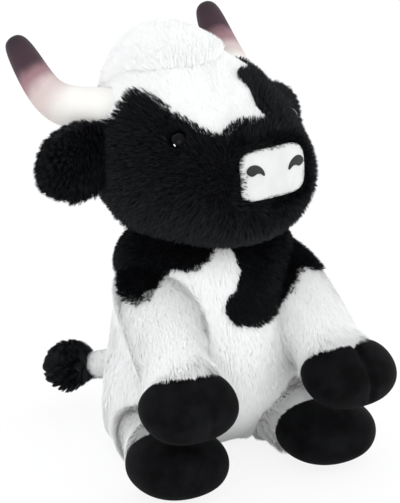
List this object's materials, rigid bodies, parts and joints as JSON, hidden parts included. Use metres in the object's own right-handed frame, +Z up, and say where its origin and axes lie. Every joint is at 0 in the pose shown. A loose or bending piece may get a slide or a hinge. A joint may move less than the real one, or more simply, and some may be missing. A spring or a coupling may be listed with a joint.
{
  "type": "plush cow",
  "caption": "Stuffed toy cow that sits upright, with black and white long pile, padded nose, curved horns, drooping ears, soft hooves and a tufted tail.",
  "frame": {"origin": "on the floor, in the middle of the trunk's flat seat", "axes": "+Z up, the cow faces -Y, +X is the cow's left"},
  "size_m": [0.2491, 0.2654, 0.341],
  "materials": {
    "white_pile": "long brushed white pile, about 7 mm with its backing",
    "black_pile": "long brushed black pile",
    "black_short_pile": "short dense black pile with a soft sheen",
    "cream_short_pile": "short pile, cream shading to a dark mauve tip",
    "nose_short_pile": "short smooth off-white pile",
    "grey_thread": "satin-stitched embroidery thread",
    "black_plastic": "polished",
    "washer_plastic": "moulded, as it comes from the tool",
    "fibre_fill": "loose polyester fibre",
    "bag_cloth": "plain woven cotton bag filled with plastic pellets"
  },
  "bodies": {
    "torso": {"trunk_skin": "white_pile", "trunk_stuffing": "fibre_fill", "pellet_bag": "bag_cloth", "shoulder_patch_right": "black_pile", "chest_patch_left": "black_pile"},
    "head": {"head_skin": "black_pile", "head_stuffing": "fibre_fill", "forehead_panel": "white_pile", "crown_tuft": "white_pile", "nose_patch": "nose_short_pile", "nostril_right": "grey_thread", "nostril_left": "grey_thread", "eye_right": "black_plastic", "eye_left": "black_plastic", "eye_washer_right": "washer_plastic", "eye_washer_left": "washer_plastic", "horn_right": "cream_short_pile", "horn_left": "cream_short_pile", "horn_stuffing_right": "fibre_fill", "horn_stuffing_left": "fibre_fill"},
    "ear_right": {"ear_right": "black_pile"},
    "foreleg_right": {"foreleg_skin_right": "white_pile", "foreleg_stuffing_right": "fibre_fill", "foreleg_top_right": "black_pile", "fore_hoof_right": "black_short_pile"},
    "hindleg_right": {"hindleg_skin_right": "white_pile", "hindleg_stuffing_right": "fibre_fill", "hind_hoof_right": "black_short_pile"},
    "ear_left": {"ear_left": "black_pile"},
    "foreleg_left": {"foreleg_skin_left": "white_pile", "foreleg_stuffing_left": "fibre_fill", "foreleg_top_left": "black_pile", "fore_hoof_left": "black_short_pile"},
    "hindleg_left": {"hindleg_skin_left": "white_pile", "hindleg_stuffing_left": "fibre_fill", "hind_hoof_left": "black_short_pile"},
    "tail": {"tail_skin": "white_pile", "tail_stuffing": "fibre_fill", "tail_tuft": "black_pile"}
  },
  "joints": [
    {"name": "neck_turn", "type": "hinge", "parent": "torso", "child": "head", "pos_m": [0, 0.004, 0.178], "axis": [0, 0, 1], "range_deg": [-30, 10], "stiffness_Nm_per_rad": 0.6},
    {"name": "ear_flap_right", "type": "hinge", "parent": "head", "child": "ear_right", "pos_m": [-0.0771, 0.02087, 0.255], "axis": [0.1736, -0.9848, 0], "range_deg": [-12, 12], "stiffness_Nm_per_rad": 0.6},
    {"name": "shoulder_lift_right", "type": "hinge", "parent": "torso", "child": "foreleg_right", "pos_m": [-0.052, 0.014, 0.14], "axis": [-1, 0, 0], "range_deg": [0, 25], "stiffness_Nm_per_rad": 0.5},
    {"name": "hip_spread_right", "type": "hinge", "parent": "torso", "child": "hindleg_right", "pos_m": [-0.05, -0.016, 0.03], "axis": [0, 0, -1], "range_deg": [0, 14], "stiffness_Nm_per_rad": 0.8},
    {"name": "ear_flap_left", "type": "hinge", "parent": "head", "child": "ear_left", "pos_m": [0.06668, 0.04622, 0.255], "axis": [-0.1736, 0.9848, 0], "range_deg": [-12, 12], "stiffness_Nm_per_rad": 0.6},
    {"name": "shoulder_lift_left", "type": "hinge", "parent": "torso", "child": "foreleg_left", "pos_m": [0.052, 0.014, 0.14], "axis": [-1, 0, 0], "range_deg": [0, 25], "stiffness_Nm_per_rad": 0.5},
    {"name": "hip_spread_left", "type": "hinge", "parent": "torso", "child": "hindleg_left", "pos_m": [0.05, -0.016, 0.03], "axis": [0, 0, 1], "range_deg": [0, 14], "stiffness_Nm_per_rad": 0.8},
    {"name": "tail_swing", "type": "hinge", "parent": "torso", "child": "tail", "pos_m": [0, 0.074, 0.044], "axis": [0, 0, 1], "range_deg": [-15, 15], "stiffness_Nm_per_rad": 0.3}
  ]
}
